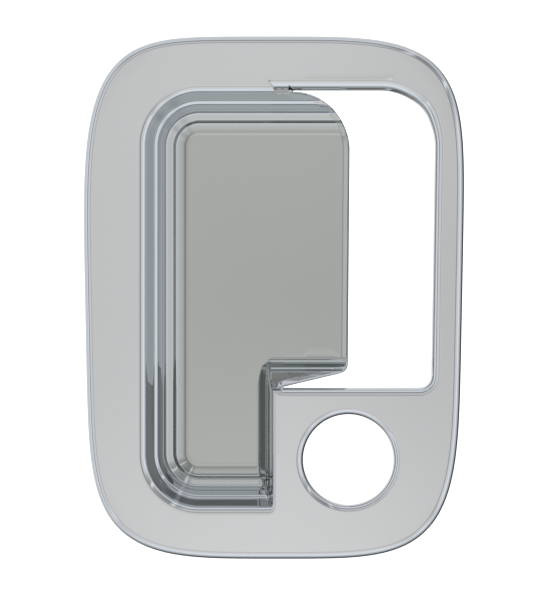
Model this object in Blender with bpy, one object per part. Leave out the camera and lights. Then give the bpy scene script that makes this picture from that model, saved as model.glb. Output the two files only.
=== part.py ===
"""Chrome trim cover for an exterior door handle: a plated shell, its foam tape and the tape's release liners.

X is right and Z is up as installed; the visible face looks towards -Y and the door skin is the plane Y = 0.
Lengths are in millimetres up to the point where a mesh is made.
"""

import math

import bmesh
import bpy
import numpy as np
from mathutils import Vector
from mathutils.geometry import delaunay_2d_cdt

MM = 0.001

# Flange outline: a bowed rounded rectangle. Each quadrant is |x/a|^n + |z/b|^m = 1.
OUT_HALF_WIDTH = 72.2
OUT_MID_Z = -1.7
OUT_UP = 101.7
OUT_DOWN = 98.3
OUT_TAPER = 0.00027
OUT_POWERS = {"top_left": (5.0, 4.1), "top_right": (4.0, 6.0),
              "bottom_left": (3.8, 5.8), "bottom_right": (4.3, 5.1)}

# Flange heights along Y.
EDGE_FRONT_Y = -3.8
CROWN = 1.8
FLANGE_BACK_Y = -1.4
SKIRT_Y = 0.0
OUT_ROLL = 2.9
RIB_WIDTH = 1.8
RIB_DRAFT = 0.4

# Lever opening: corner points with their fillets, then the free edge of the cup.
OPEN_TOP_Z = 79.3
OPEN_BOTTOM_Z = -34.5
OPEN_CORNERS = [((60.3, OPEN_BOTTOM_Z), 4.6), ((61.8, 61.5), 24.0),
                ((57.6, 73.2), 15.0), ((46.5, OPEN_TOP_Z), 21.0)]
NOTCH_TOP = (7.6, 78.7)
ARC_CENTRE = (8.0, 57.2)
ARC_RADIUS = 21.5
FREE_EDGE_CORNER = (28.8, -28.5)
FREE_EDGE_FILLET = 4.0
NOTCH_BOTTOM = (3.6, -34.28)
LIP_ROLL_TOP = 4.3
LIP_ROLL = 3.3
FREE_EDGE_ROLL = 2.5
FREE_EDGE = [(0.0, 2.0), (0.15, 1.25), (0.45, 0.75), (0.8, 0.5), (2.2, 0.06), (2.5, 0.0)]
# The slot between the flange's lip and the cup, as (left, right, bottom), and the lip's slanted left end.
SLOT = (0.4, 6.0, 77.8)
SLOT_SLOPE = 0.1
LIP_END = (0.2, 79.7, 0.63)
LIP_BACK_Y = 3.5

# Lock hole.
HOLE_X = 28.6
HOLE_Z = -62.0
HOLE_RADIUS = 17.3
HOLE_ROLL = 2.7
HOLE_BACK_Y = 1.0

# Finger cup: its rim, and the three wall sections as (distance in from the rim, depth).
RIM_LEFT = -51.5
RIM_TOP = 81.2
RIM_BOTTOM = -82.8
RIM_RIGHT = 0.6
RIM_LEDGE = -36.4
RIM_CORNER = 23.0
CUP_END_X = 45.0
RIM_TURN_WIDE = 5.0
RIM_TURN_RIGHT = 2.18
INNER_BLEND = 8.0
CUP_DEPTH = 18.0
FLOOR_Y = 13.4
FLOOR_BACK_Y = 16.0
WIDE_WALL = [(0.0, 0.0), (0.8, 0.08), (1.6, 0.32), (2.2, 0.69), (2.7, 1.17), (2.9, 1.47), (5.6, 6.6),
             (5.9, 7.0), (6.8, 7.35), (7.1, 7.7), (8.6, 9.9), (8.8, 10.3), (9.6, 13.1), (9.9, 13.6),
             (10.4, 13.95), (12.7, 14.6), (12.95, 14.85), (13.5, 16.5), (13.8, 16.85), (14.8, 17.3),
             (16.0, 17.65), (17.2, 17.9), (18.6, 18.0)]
RIGHT_WALL = [(0.0, 0.0), (0.5, 0.25), (0.9, 0.7), (1.3, 1.4), (1.7, 2.6), (3.4, 12.8), (3.8, 13.5),
              (6.0, 17.4), (6.5, 17.9), (6.9, 18.0)]
LEDGE_WALL = [(0.0, 0.0), (0.5, 0.22), (1.0, 0.75), (1.5, 1.95), (8.0, 9.9), (8.2, 10.2), (8.7, 11.9),
              (8.9, 12.1), (9.4, 12.3), (9.6, 12.6), (11.2, 16.6), (11.4, 16.9), (12.1, 17.2), (12.6, 17.85),
              (13.1, 18.0)]

# The same three walls on the back, as (distance in from the rim, Y).
WIDE_BACK = [(0.1, FLANGE_BACK_Y), (0.5, -0.66), (3.2, 4.4), (4.7, 5.29), (7.4, 10.2), (10.0, 12.13),
             (11.4, 12.88), (12.4, 14.14), (15.4, 15.48), (17.4, FLOOR_BACK_Y)]
RIGHT_BACK = [(-1.3, FLANGE_BACK_Y), (-1.0, -0.73), (0.7, 5.74), (1.6, 6.78), (3.1, 13.47),
              (4.6, FLOOR_BACK_Y)]
LEDGE_BACK = [(-1.0, FLANGE_BACK_Y), (-0.7, -0.95), (5.2, 10.05), (6.8, 11.54), (8.8, 12.58),
              (10.0, 14.96), (11.4, FLOOR_BACK_Y)]

# Foam tape and liners.
TAPE_GAP = 0.25
TAPE_THICKNESS = 1.1
LINER_GAP = 0.2
LINER_THICKNESS = 0.25
LINER_MARGIN = 0.5
TAB_LENGTH = 6.0
TAPE_CORNER = 1.5
# name: (x0, x1, z0, z1, Y of the face it is stuck to, side the pull tab is on)
TAPES = {
    "left_upper": (-66.5, -54.5, 4.5, 62.0, FLANGE_BACK_Y, "up"),
    "left_lower": (-66.5, -54.5, -62.0, -4.5, FLANGE_BACK_Y, "down"),
    "top": (-36.0, 40.0, 84.8, 95.2, FLANGE_BACK_Y, "right"),
    "right": (64.9, 69.4, -26.0, 52.0, FLANGE_BACK_Y, "down"),
    "bottom": (-36.0, 36.0, -96.0, -85.6, FLANGE_BACK_Y, "right"),
    "lock": (50.5, 63.0, -74.0, -44.0, FLANGE_BACK_Y, "up"),
    "cup_upper": (-24.0, 14.0, 28.0, 48.0, FLOOR_BACK_Y, "right"),
    "cup_lower": (-27.0, -12.0, -56.0, -38.0, FLOOR_BACK_Y, "up"),
}

ROLL_ANGLES = (0.0, 25.0, 48.0, 68.0)
SPACING = 3.2


def clear_scene():
    for obj in list(bpy.data.objects):
        bpy.data.objects.remove(obj, do_unlink=True)


def material(name, colour, metallic, roughness):
    made = bpy.data.materials.new(name)
    made.use_nodes = True
    shader = made.node_tree.nodes["Principled BSDF"]
    shader.inputs["Base Color"].default_value = (*colour, 1.0)
    shader.inputs["Metallic"].default_value = metallic
    shader.inputs["Roughness"].default_value = roughness
    return made


def smoothstep(value, low, high):
    t = np.clip((value - low) / (high - low), 0.0, 1.0)
    return t * t * (3.0 - 2.0 * t)


def resample(points, spacing, closed):
    """Evenly spaced points along a dense polyline."""
    pts = np.asarray(points, float)
    if closed:
        pts = np.vstack([pts, pts[:1]])
    along = np.concatenate([[0.0], np.cumsum(np.hypot(*np.diff(pts, axis=0).T))])
    count = max(1, round(along[-1] / spacing))
    at = np.linspace(0.0, along[-1], count + 1)
    if closed:
        at = at[:-1]
    return np.column_stack([np.interp(at, along, pts[:, 0]), np.interp(at, along, pts[:, 1])])


def outline_value(x, z):
    """The outline's implicit function: 1 on the outline, less inside."""
    dz = z - OUT_MID_Z
    half = OUT_HALF_WIDTH * (1.0 + OUT_TAPER * dz)
    value = np.zeros_like(x)
    for name, (n, m) in OUT_POWERS.items():
        here = ((dz >= 0) == name.startswith("top")) & ((x >= 0) == name.endswith("right"))
        b = OUT_UP if name.startswith("top") else OUT_DOWN
        value = np.where(here, np.abs(x / half) ** n + np.abs(dz / b) ** m, value)
    return value


def outline_points(spacing):
    """The flange outline, anticlockwise, found along rays from its centre."""
    angle = np.linspace(0.0, 2.0 * math.pi, 1441)[:-1]
    low = np.zeros_like(angle)
    high = np.full_like(angle, 200.0)
    for _ in range(48):
        mid = (low + high) / 2.0
        inside = outline_value(mid * np.cos(angle), OUT_MID_Z + mid * np.sin(angle)) < 1.0
        low = np.where(inside, mid, low)
        high = np.where(inside, high, mid)
    dense = np.column_stack([low * np.cos(angle), OUT_MID_Z + low * np.sin(angle)])
    return resample(dense, spacing, True)


def arc(centre, radius, start, end, step):
    """Points of an arc between two angles in degrees, at most `step` millimetres apart."""
    count = max(2, math.ceil(abs(math.radians(end - start)) * radius / step))
    angle = np.radians(np.linspace(start, end, count + 1))
    return [(centre[0] + radius * math.cos(a), centre[1] + radius * math.sin(a)) for a in angle]


def fillet(before, corner, after, radius, step):
    """Points of the fillet that rounds one corner of a path."""
    corner = np.array(corner, float)
    u = np.array(before, float) - corner
    v = np.array(after, float) - corner
    u /= np.hypot(*u)
    v /= np.hypot(*v)
    half = math.acos(float(np.clip(u @ v, -1.0, 1.0))) / 2.0
    bisector = (u + v) / np.hypot(*(u + v))
    centre = corner + bisector * radius / math.sin(half)
    first = corner + u * radius / math.tan(half) - centre
    last = corner + v * radius / math.tan(half) - centre
    start = math.degrees(math.atan2(first[1], first[0]))
    turn = math.degrees(math.atan2(last[1], last[0])) - start
    turn = (turn + 180.0) % 360.0 - 180.0
    return arc(centre, radius, start, start + turn, step)


def line(start, end, step):
    count = max(1, round(math.dist(start, end) / step))
    return [(start[0] + (end[0] - start[0]) * i / count, start[1] + (end[1] - start[1]) * i / count)
            for i in range(count + 1)]


def opening_path(step):
    """The lever opening's edge, anticlockwise, starting at its lower left notch."""
    notch = (NOTCH_BOTTOM[0], OPEN_BOTTOM_Z)
    top = (NOTCH_TOP[0], OPEN_TOP_Z)
    stops = [notch] + [c for c, _ in OPEN_CORNERS] + [top]
    pieces = [[notch]]
    for i, (corner, radius) in enumerate(OPEN_CORNERS):
        pieces.append(fillet(stops[i], corner, stops[i + 2], radius, step))
    pieces.append([top, NOTCH_TOP])
    start = math.degrees(math.atan2(NOTCH_TOP[1] - ARC_CENTRE[1], NOTCH_TOP[0] - ARC_CENTRE[0]))
    pieces.append(arc(ARC_CENTRE, ARC_RADIUS, start, 0.0, step))
    arc_end = (ARC_CENTRE[0] + ARC_RADIUS, ARC_CENTRE[1])
    pieces.append(fillet(arc_end, FREE_EDGE_CORNER, NOTCH_BOTTOM, FREE_EDGE_FILLET, step))
    pieces.append([NOTCH_BOTTOM])
    path = [pieces[0][0]]
    for piece in pieces:
        for point in piece:
            if math.dist(path[-1], point) > 0.05:
                path += line(path[-1], point, step)[1:]
    return np.array(path)


def hole_path(step):
    return np.array(arc((HOLE_X, HOLE_Z), HOLE_RADIUS, 0.0, 360.0, step)[:-1])


def distance(points, loop):
    """The distance from each point to a closed loop of segments."""
    a = loop
    b = np.roll(loop, -1, axis=0)
    ab = b - a
    length = (ab ** 2).sum(axis=1)
    best = np.full(len(points), np.inf)
    for i in range(len(a)):
        t = np.clip(((points - a[i]) @ ab[i]) / length[i], 0.0, 1.0)
        gap = points - a[i] - t[:, None] * ab[i]
        best = np.minimum(best, (gap ** 2).sum(axis=1))
    return np.sqrt(best)


def inside(points, loop):
    """Which points are inside a closed loop."""
    x, z = points.T
    found = np.zeros(len(points), bool)
    for (x0, z0), (x1, z1) in zip(loop, np.roll(loop, -1, axis=0)):
        crosses = (z0 > z) != (z1 > z)
        if crosses.any():
            at = x0 + (z - z0) / (z1 - z0 if z1 != z0 else 1.0) * (x1 - x0)
            found ^= crosses & (x < at)
    return found


def roll(gap, radius):
    """How far a quarter-round edge drops at a distance from the edge."""
    t = np.clip(1.0 - gap / radius, 0.0, 1.0)
    return radius * (1.0 - np.sqrt(1.0 - t * t))


def free_edge_share(x, z):
    """1 beside the free edge of the cup and 0 beside the flange's own lip."""
    low = smoothstep(z, OPEN_BOTTOM_Z - 0.5, OPEN_BOTTOM_Z + 1.0)
    high = 1.0 - smoothstep(z, OPEN_TOP_Z - 1.0, OPEN_TOP_Z + 0.5)
    return low * high * (x < CUP_END_X)


def lip_radius(x, z):
    """The radius of the opening's rolled edge: widest along the top, least along the free edge of the cup."""
    flange = LIP_ROLL + (LIP_ROLL_TOP - LIP_ROLL) * smoothstep(z, OPEN_TOP_Z - 22.0, OPEN_TOP_Z - 3.0)
    return flange + (FREE_EDGE_ROLL - flange) * free_edge_share(x, z)


def past_lip_end(x, z):
    """0 to the left of the lip's slanted end and 1 to its right."""
    end_x, end_z, slant = LIP_END
    return smoothstep(x - end_x + slant * (z - end_z), -0.5, 0.5)


def lip_share(x, z):
    """1 where the flange's lip takes over from the rim of the cup."""
    top = past_lip_end(x, z) * smoothstep(z, OPEN_TOP_Z - 0.2, OPEN_TOP_Z + 0.2)
    bottom = smoothstep(x, 2.0, 3.6) * (1.0 - smoothstep(z, OPEN_BOTTOM_Z - 0.3, OPEN_BOTTOM_Z + 0.3))
    return np.maximum(top, bottom)


def slot_drop(x, z):
    """The lip's rolled edge where it runs on past the opening, and the slot's flat floor below it."""
    left, right, bottom = SLOT
    stub = roll(np.abs(z - OPEN_TOP_Z), LIP_ROLL_TOP) * past_lip_end(x, z)
    stub *= (z > OPEN_TOP_Z) * (x < NOTCH_TOP[0])
    across = smoothstep(x, left - 0.25, left + 0.25) * (1.0 - smoothstep(x, right - 0.25, right + 0.25))
    sloped = LIP_ROLL_TOP + SLOT_SLOPE * (z - OPEN_TOP_Z)
    floor = sloped * across * smoothstep(z, bottom - 0.2, bottom + 0.2) * (z <= OPEN_TOP_Z)
    return stub + floor


def rim_distance(x, z):
    """The distance in from the left, top and bottom rim, with its two round corners."""
    left = x - RIM_LEFT
    top = RIM_TOP - z
    bottom = z - RIM_BOTTOM
    corner_x = RIM_LEFT + RIM_CORNER
    gap = np.minimum(np.minimum(left, top), bottom)
    for centre_z, beyond in ((RIM_TOP - RIM_CORNER, z > RIM_TOP - RIM_CORNER),
                             (RIM_BOTTOM + RIM_CORNER, z < RIM_BOTTOM + RIM_CORNER)):
        round_gap = RIM_CORNER - np.hypot(x - corner_x, z - centre_z)
        gap = np.where((x < corner_x) & beyond, round_gap, gap)
    return gap


def combine(wide, right, ledge, deepest):
    """The cup is inside the wide walls and past the right wall or the ledge wall, with rounded junctions."""
    outer = np.maximum(right, ledge)
    blend = 1.0 + 15.0 * outer / deepest
    near = np.clip(blend - np.abs(right - ledge), 0.0, None) / blend
    corner = np.minimum(outer + near ** 2 * blend / 4.0 * smoothstep(outer, 0.0, 3.0), deepest)
    least = np.minimum(wide, corner)
    near = np.clip(INNER_BLEND - np.abs(wide - corner), 0.0, None) / INNER_BLEND
    fill = near ** 2 * INNER_BLEND / 4.0 * (1.0 - (np.maximum(wide, corner) / deepest) ** 6)
    return np.clip(least - fill * smoothstep(least, 5.0, 9.0), 0.0, None)


def rim_turn(depth, x, z):
    """The cup's depth with its rim turning a rounded corner at the lower right."""
    a = 1.0 - rim_distance(x, z) / RIM_TURN_WIDE
    b = 1.0 - (RIM_RIGHT - x) / RIM_TURN_RIGHT
    here = (a > 0.0) & (b > 0.0) & (z < RIM_BOTTOM + 2.0 * RIM_TURN_WIDE)
    a = np.clip(a, 1e-6, None)
    b = np.clip(b, 1e-6, None)
    left = 1.0 - np.hypot(a, b)
    share = a * a / (a * a + b * b)
    turned = share * section(WIDE_WALL, left * RIM_TURN_WIDE)
    turned += (1.0 - share) * section(RIGHT_WALL, left * RIM_TURN_RIGHT)
    return np.where(here, turned, depth)


def section(nodes, gap):
    gaps, depths = zip(*nodes)
    return np.interp(gap, gaps, depths)


def front_y(points, loops):
    """Y of the visible face over any point of the flange or the cup."""
    x, z = points.T
    flange = EDGE_FRONT_Y - CROWN * (1.0 - ((x / OUT_HALF_WIDTH) ** 2 + (z / OUT_UP) ** 2) / 2.0)
    depth = combine(section(WIDE_WALL, rim_distance(x, z)), section(RIGHT_WALL, RIM_RIGHT - x),
                    section(LEDGE_WALL, z - RIM_LEDGE), CUP_DEPTH)
    depth = rim_turn(depth, x, z) * (1.0 - lip_share(x, z)) * (x < CUP_END_X)
    gap = distance(points, loops["opening"])
    share = free_edge_share(x, z)
    lip = roll(gap, lip_radius(x, z)) * (1.0 - share) + np.interp(gap, *zip(*FREE_EDGE)) * share
    y = np.maximum(flange + (FLOOR_Y - flange) * depth / CUP_DEPTH + lip, flange + slot_drop(x, z))
    y += roll(distance(points, loops["outline"]), OUT_ROLL)
    return y + roll(distance(points, loops["hole"]), HOLE_ROLL)


def rib(gap, height):
    """Y of a rib that stands along an edge, on the flange's back."""
    return FLANGE_BACK_Y + (height - FLANGE_BACK_Y) * (1.0 - np.clip((gap - RIB_WIDTH) / RIB_DRAFT, 0.0, 1.0))


def back_y(points, loops):
    """Y of the hidden face over any point of the flange or the cup."""
    x, z = points.T
    wide = section(WIDE_BACK, rim_distance(x, z))
    corner = np.maximum(section(RIGHT_BACK, RIM_RIGHT - x), section(LEDGE_BACK, z - RIM_LEDGE))
    cup = np.minimum(wide, corner)
    top = smoothstep(x, NOTCH_TOP[0] - 1.5, NOTCH_TOP[0]) * smoothstep(z, OPEN_TOP_Z - 0.5, OPEN_TOP_Z + 0.3)
    bottom = smoothstep(x, 4.0, 6.0) * (1.0 - smoothstep(z, OPEN_BOTTOM_Z - 0.3, OPEN_BOTTOM_Z + 0.2))
    cup = FLANGE_BACK_Y + (cup - FLANGE_BACK_Y) * (1.0 - np.maximum(top, bottom)) * (x < CUP_END_X)
    y = np.maximum(cup, rib(distance(points, loops["outline"]), SKIRT_Y))
    y = np.maximum(y, rib(distance(points, loops["hole"]), HOLE_BACK_Y))
    lip = rib(distance(points, loops["opening"]), LIP_BACK_Y)
    lip = FLANGE_BACK_Y + (lip - FLANGE_BACK_Y) * (1.0 - free_edge_share(x, z))
    return np.maximum(y, lip)


def normals(loop):
    """Unit vectors to the right of a loop's direction, at its points."""
    along = np.roll(loop, -1, axis=0) - np.roll(loop, 1, axis=0)
    along /= np.hypot(*along.T)[:, None]
    return np.column_stack([along[:, 1], -along[:, 0]])


def rings_beside(loop, gaps, side):
    """Closed rings at set distances from a loop. `gaps` holds one distance, or one per point."""
    return [loop + normals(loop) * side * np.broadcast_to(g, (len(loop),))[:, None] for g in gaps]


def rim_line(gap, step):
    """The wide walls' rim, moved in by a distance."""
    radius = RIM_CORNER - gap
    corner_x = RIM_LEFT + RIM_CORNER
    top = (corner_x, RIM_TOP - RIM_CORNER)
    bottom = (corner_x, RIM_BOTTOM + RIM_CORNER)
    path = line((31.0, RIM_TOP - gap), (corner_x, RIM_TOP - gap), step)
    path += curve(top, radius, 90.0, 180.0, step)[1:]
    path += line((RIM_LEFT + gap, top[1]), (RIM_LEFT + gap, bottom[1]), 2.0 * step)[1:]
    path += curve(bottom, radius, 180.0, 270.0, step)[1:]
    path += line((corner_x, RIM_BOTTOM + gap), (RIM_RIGHT, RIM_BOTTOM + gap), step)[1:]
    return np.array(path)


def curve(centre, radius, start, end, step):
    """An arc with the same number of points whatever its radius."""
    count = math.ceil(math.radians(abs(end - start)) * RIM_CORNER / step)
    angle = np.radians(np.linspace(start, end, count + 1))
    return [(centre[0] + radius * math.cos(a), centre[1] + radius * math.sin(a)) for a in angle]


def right_line(gap, step):
    return np.array(line((RIM_RIGHT - gap, RIM_LEDGE + 14.0), (RIM_RIGHT - gap, RIM_BOTTOM), step))


def ledge_line(gap, step):
    return np.array(line((RIM_RIGHT - 8.0, RIM_LEDGE + gap), (31.0, RIM_LEDGE + gap), step))


def runs(path, keep):
    """The stretches of a path where keep is true."""
    found = []
    current = []
    for point, ok in zip(path, keep):
        if ok:
            current.append(point)
        elif current:
            found.append(np.array(current))
            current = []
    if current:
        found.append(np.array(current))
    return found


def wall_runs(nodes, step, margin):
    """The cup's level lines where each is really a line of its surface."""
    wide_nodes, right_nodes, ledge_nodes = nodes
    lines = [("wide", rim_line(g, step)) for g, _ in wide_nodes]
    lines += [("right", right_line(g, step)) for g, _ in right_nodes]
    lines += [("ledge", ledge_line(g, step)) for g, _ in ledge_nodes]
    found = []
    for kind, path in lines:
        x, z = path.T
        wide = section(wide_nodes, rim_distance(x, z))
        right = section(right_nodes, RIM_RIGHT - x)
        ledge = section(ledge_nodes, z - RIM_LEDGE)
        corner = np.maximum(right, ledge)
        keep = {"wide": wide <= corner + 1e-6, "right": (right >= ledge - 1e-6) & (right <= wide),
                "ledge": (ledge >= right - 1e-6) & (ledge <= wide)}[kind]
        found += runs(path, keep & (lip_share(x, z) < 0.5) & margin(path))
    return found


def domain_margin(loops, gap):
    """A test for points on the material and at least `gap` from every edge."""
    def test(points):
        clear = inside(points, loops["outline"])
        for name in ("opening", "hole"):
            clear &= ~inside(points, loops[name])
        for name, loop in loops.items():
            clear &= distance(points, loop) > gap[name]
        return clear
    return test


def grid(x0, x1, z0, z1, step):
    xs = np.linspace(x0, x1, max(2, round((x1 - x0) / step) + 1))
    zs = np.linspace(z0, z1, max(2, round((z1 - z0) / step) + 1))
    return np.array([(x, z) for x in xs for z in zs])


def triangulate(loops, rings, paths, dots):
    """Triangles over the material, with every loop, ring and path kept as edges."""
    points = []
    edges = []
    for loop in list(loops.values()) + rings:
        first = len(points)
        points += [tuple(p) for p in loop]
        edges += [(first + i, first + (i + 1) % len(loop)) for i in range(len(loop))]
    for path in paths:
        first = len(points)
        points += [tuple(p) for p in path]
        edges += [(first + i, first + i + 1) for i in range(len(path) - 1)]
    points += [tuple(p) for p in dots]
    verts, _, faces, _, _, _ = delaunay_2d_cdt([Vector(p) for p in points], edges, [], 0, 1e-4)
    flat = np.array([tuple(v) for v in verts])
    tris = np.array([f[:] for f in faces])
    centre = flat[tris].mean(axis=1)
    keep = inside(centre, loops["outline"])
    keep &= ~inside(centre, loops["opening"]) & ~inside(centre, loops["hole"])
    tris = tris[keep]
    a, b, c = (flat[tris[:, i]] for i in range(3))
    area = (b[:, 0] - a[:, 0]) * (c[:, 1] - a[:, 1]) - (b[:, 1] - a[:, 1]) * (c[:, 0] - a[:, 0])
    tris[area < 0] = tris[area < 0][:, ::-1]
    return flat, tris[np.abs(area) > 1e-7]


def single(points):
    """The points at the precision the triangulation works in."""
    return np.asarray(points, np.float32).astype(float)


def find(flat, loop):
    """The index in flat of each point of a loop."""
    return [int(((flat - p) ** 2).sum(axis=1).argmin()) for p in loop]


def spread(points, taken, gap):
    """The points that keep a distance from the ones already taken."""
    kept = []
    for p in points:
        if ((taken - p) ** 2).sum(axis=1).min() > gap * gap:
            kept.append(p)
    return kept


def slot_lines():
    """Lines along the steps of the slot and the lip's slanted end."""
    left, right, bottom = SLOT
    end_x, end_z, slant = LIP_END
    stop = NOTCH_TOP[0] - 0.25
    found = [line((left - 0.5, z), (stop, z), 1.0) for z in (OPEN_TOP_Z - 0.06, OPEN_TOP_Z + 0.02)]
    found += [line((left - 0.25, z), (right + 0.25, z), 1.0) for z in (bottom - 0.2, bottom + 0.2)]
    found += [line((x, bottom - 0.3), (x, OPEN_TOP_Z - 0.1), 1.0) for side in (left, right)
              for x in (side - 0.25, side + 0.25)]
    for shift in (-0.5, 0.5):
        low = (end_x + shift - slant * (OPEN_TOP_Z + 0.1 - end_z), OPEN_TOP_Z + 0.1)
        high = (end_x + shift - slant * (OPEN_TOP_Z + LIP_ROLL_TOP - end_z), OPEN_TOP_Z + LIP_ROLL_TOP)
        found.append(line(low, high, 1.0))
    return [np.array(path) for path in found]


def shell_layout(loops):
    """The lines and points that the front and the back are triangulated from."""
    roll_gaps = [1.0 - math.sin(math.radians(a)) for a in ROLL_ANGLES]
    opening = loops["opening"]
    lip = lip_radius(*opening.T)
    front_rings = rings_beside(loops["outline"], [g * OUT_ROLL for g in roll_gaps], -1.0)
    front_rings += rings_beside(opening, [g * lip for g in roll_gaps], 1.0)
    front_rings += rings_beside(loops["hole"], [g * HOLE_ROLL for g in roll_gaps], 1.0)
    margin = domain_margin(loops, {"outline": 3.2, "opening": 0.6, "hole": 3.0})
    walls = wall_runs((WIDE_WALL, RIGHT_WALL, LEDGE_WALL), SPACING, margin) + slot_lines()
    back_rings = []
    for name, side in (("outline", -1.0), ("opening", 1.0), ("hole", 1.0)):
        back_rings += rings_beside(loops[name], [RIB_WIDTH, RIB_WIDTH + RIB_DRAFT], side)
    back_margin = domain_margin(loops, {"outline": 2.6, "opening": 0.6, "hole": 2.6})
    back_walls = wall_runs((WIDE_BACK, RIGHT_BACK, LEDGE_BACK), 1.3 * SPACING, back_margin)
    return front_rings, walls, back_rings, back_walls


def dots_for(loops, rings, paths, gap):
    """Loose points that carry the crown and the rounded junctions."""
    margin = domain_margin(loops, {"outline": 4.0, "opening": 0.8, "hole": 3.6})
    taken = np.vstack(list(loops.values()) + rings + paths)
    wide = grid(-70.0, 70.0, -98.0, 98.0, 7.0)
    corner = grid(-8.0, 3.0, -38.0, -22.0, 1.1)
    notch = grid(-2.5, 10.0, 77.0, 84.0, 0.9)
    found = spread(notch[margin(notch)], taken, 0.35)
    found += spread(corner[margin(corner)], taken, 0.5)
    return found + spread(wide[margin(wide)], np.vstack([taken] + [np.array(found)]), gap)


def shell_mesh():
    """The shell as one closed body: front, back, and the narrow walls that join them along every edge."""
    loops = {"outline": single(outline_points(SPACING)), "opening": single(opening_path(SPACING)),
             "hole": single(hole_path(SPACING))}
    front_rings, walls, back_rings, back_walls = shell_layout(loops)
    front_dots = dots_for(loops, front_rings, walls, 3.0)
    flat_f, tris_f = triangulate(loops, front_rings, walls, front_dots)
    flat_b, tris_b = triangulate(loops, back_rings, back_walls, [])
    y_f = front_y(flat_f, loops)
    y_b = back_y(flat_b, loops)
    verts = [(x, y, z) for (x, z), y in zip(flat_f, y_f)]
    verts += [(x, y, z) for (x, z), y in zip(flat_b, y_b)]
    shift = len(flat_f)
    faces = [tuple(int(i) for i in t) for t in tris_f]
    faces += [tuple(int(i) + shift for i in t[::-1]) for t in tris_b]
    for name, loop in loops.items():
        order = loop if name == "outline" else loop[::-1]
        f = find(flat_f, order)
        b = [i + shift for i in find(flat_b, order)]
        for i in range(len(order)):
            j = (i + 1) % len(order)
            faces.append((f[i], b[i], b[j], f[j]))
    return np.array(verts) * MM, faces


def add_object(name, verts, faces, finish):
    mesh = bpy.data.meshes.new(name)
    mesh.from_pydata([tuple(v) for v in verts], [], faces)
    obj = bpy.data.objects.new(name, mesh)
    bpy.context.collection.objects.link(obj)
    mesh.materials.append(finish)
    return obj


def drop_loose(obj):
    """Removes points that no face uses."""
    bm = bmesh.new()
    bm.from_mesh(obj.data)
    loose = [v for v in bm.verts if not v.link_faces]
    bmesh.ops.delete(bm, geom=loose, context="VERTS")
    bm.to_mesh(obj.data)
    bm.free()


def build_shell():
    verts, faces = shell_mesh()
    finish = material("chrome_plate", (0.82, 0.83, 0.84), 1.0, 0.06)
    obj = add_object("chrome_shell", verts, faces, finish)
    drop_loose(obj)
    obj.data.shade_smooth()
    return obj


def slab(name, box, radius, y0, thickness, finish):
    """A flat plate with round corners, its origin at its centre."""
    x0, x1, z0, z1 = box
    outline = rounded_box((x1 - x0) / 2.0, (z1 - z0) / 2.0, radius)
    count = len(outline)
    verts = [(x * MM, -thickness * MM / 2.0, z * MM) for x, z in outline]
    verts += [(x * MM, thickness * MM / 2.0, z * MM) for x, z in outline]
    faces = [tuple(range(count)), tuple(range(2 * count - 1, count - 1, -1))]
    faces += [(i, i + count, (i + 1) % count + count, (i + 1) % count) for i in range(count)]
    obj = add_object(name, verts, faces, finish)
    obj.location = ((x0 + x1) / 2.0 * MM, (y0 + thickness / 2.0) * MM, (z0 + z1) / 2.0 * MM)
    return obj


def rounded_box(half_x, half_z, radius):
    """An anticlockwise rectangle with round corners, about the origin."""
    path = []
    for sign_x, sign_z, start in ((1, 1, 0.0), (-1, 1, 90.0), (-1, -1, 180.0), (1, -1, 270.0)):
        centre = (sign_x * (half_x - radius), sign_z * (half_z - radius))
        path += [(centre[0] + radius * math.cos(math.radians(start + a)),
                  centre[1] + radius * math.sin(math.radians(start + a))) for a in (0.0, 30.0, 60.0, 90.0)]
    return path


def liner_box(x0, x1, z0, z1, side):
    """The tape's box with a margin all round, longer on the side of the pull tab."""
    grow = {"up": (0, 0, 0, TAB_LENGTH), "down": (0, 0, TAB_LENGTH, 0), "right": (0, TAB_LENGTH, 0, 0)}[side]
    return (x0 - LINER_MARGIN - grow[0], x1 + LINER_MARGIN + grow[1],
            z0 - LINER_MARGIN - grow[2], z1 + LINER_MARGIN + grow[3])


def build_tapes():
    for name, (x0, x1, z0, z1, face_y, side) in TAPES.items():
        foam = material("foam_" + name, (0.42, 0.43, 0.44), 0.0, 0.85)
        film = material("film_" + name, (0.62, 0.03, 0.03), 0.0, 0.3)
        tape_y = face_y + TAPE_GAP
        tape_end = tape_y + TAPE_THICKNESS
        slab("tape_" + name, (x0, x1, z0, z1), TAPE_CORNER, tape_y, TAPE_THICKNESS, foam)
        box = liner_box(x0, x1, z0, z1, side)
        slab("liner_" + name, box, TAPE_CORNER + LINER_MARGIN, tape_end + LINER_GAP, LINER_THICKNESS, film)


def main():
    clear_scene()
    build_shell()
    build_tapes()


main()
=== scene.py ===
import math

import bpy
import numpy as np
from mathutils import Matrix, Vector
from mathutils.geometry import delaunay_2d_cdt


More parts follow.
